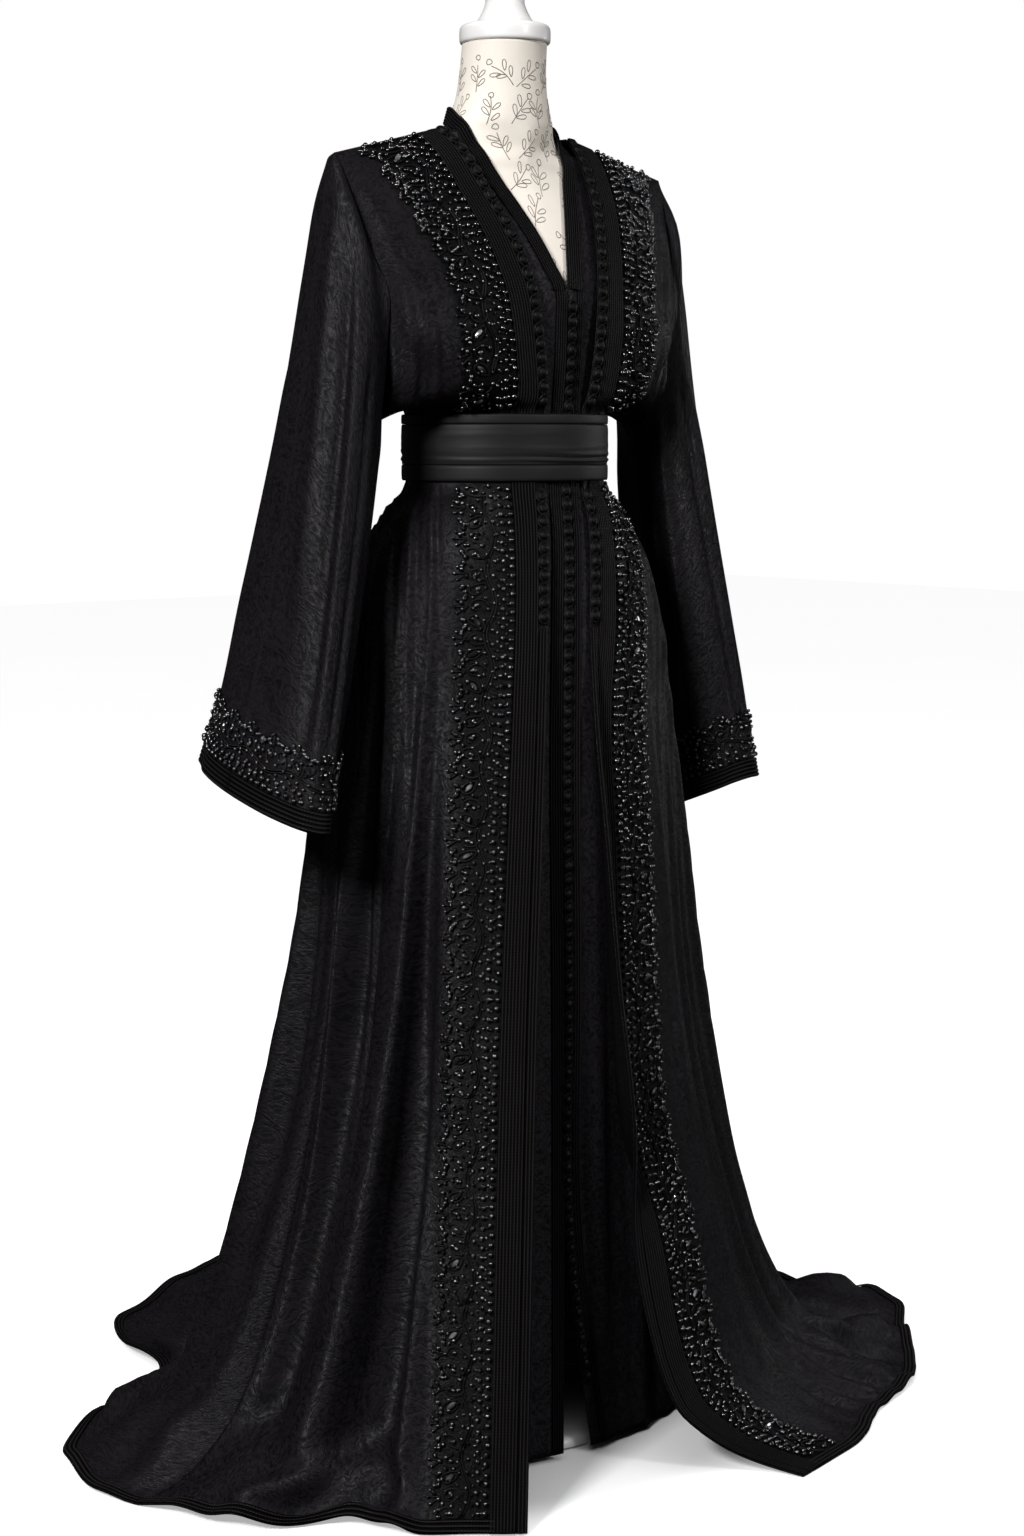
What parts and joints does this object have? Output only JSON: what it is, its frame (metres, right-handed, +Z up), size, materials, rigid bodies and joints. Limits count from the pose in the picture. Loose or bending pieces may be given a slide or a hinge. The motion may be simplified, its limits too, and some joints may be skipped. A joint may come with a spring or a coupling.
{
  "type": "takchita on dress form",
  "caption": "Open-front layered ceremonial gown with a train, wide sleeves and a satin belt, worn by a limbless cloth dress form on a round stand.",
  "frame": {"origin": "centre of the stand base's underside, on the floor under the pole", "axes": "+Z up along the pole, the gown's front faces -Y, +X is the wearer's left"},
  "size_m": [1.1602, 1.0487, 1.7285],
  "materials": {
    "jacquard": "soft satin jacquard",
    "under_cloth": "satin",
    "braid": "matt corded",
    "beadwork": "gloss",
    "knots": "matt corded",
    "satin": "satin",
    "form_cloth": "matt linen",
    "white_lacquer": "satin lacquer",
    "pole_metal": "brushed"
  },
  "bodies": {
    "root": {"over_front_right": "jacquard", "over_front_left": "jacquard", "over_back": "jacquard", "sleeve_right": "jacquard", "sleeve_left": "jacquard", "bead_cuff_right": "beadwork", "bead_cuff_left": "beadwork", "bead_band_right": "beadwork", "bead_band_left": "beadwork", "braid_cuff_right": "braid", "braid_cuff_left": "braid", "braid_front_right": "braid", "braid_front_left": "braid", "braid_edge_right": "braid", "braid_edge_left": "braid", "braid_hem_right": "braid", "braid_hem_left": "braid", "braid_hem_back": "braid", "buttons_right": "knots", "buttons_left": "knots", "under_front_right": "under_cloth", "under_front_left": "under_cloth", "under_back": "under_cloth", "under_neck_braid_right": "braid", "under_neck_braid_left": "braid", "under_centre_braid": "braid", "under_buttons": "knots", "belt_top": "satin", "belt_wrap": "satin", "belt_bottom": "satin", "form_torso": "form_cloth", "form_cap": "white_lacquer", "stand_pole": "pole_metal", "stand_base": "white_lacquer"}
  },
  "joints": []
}
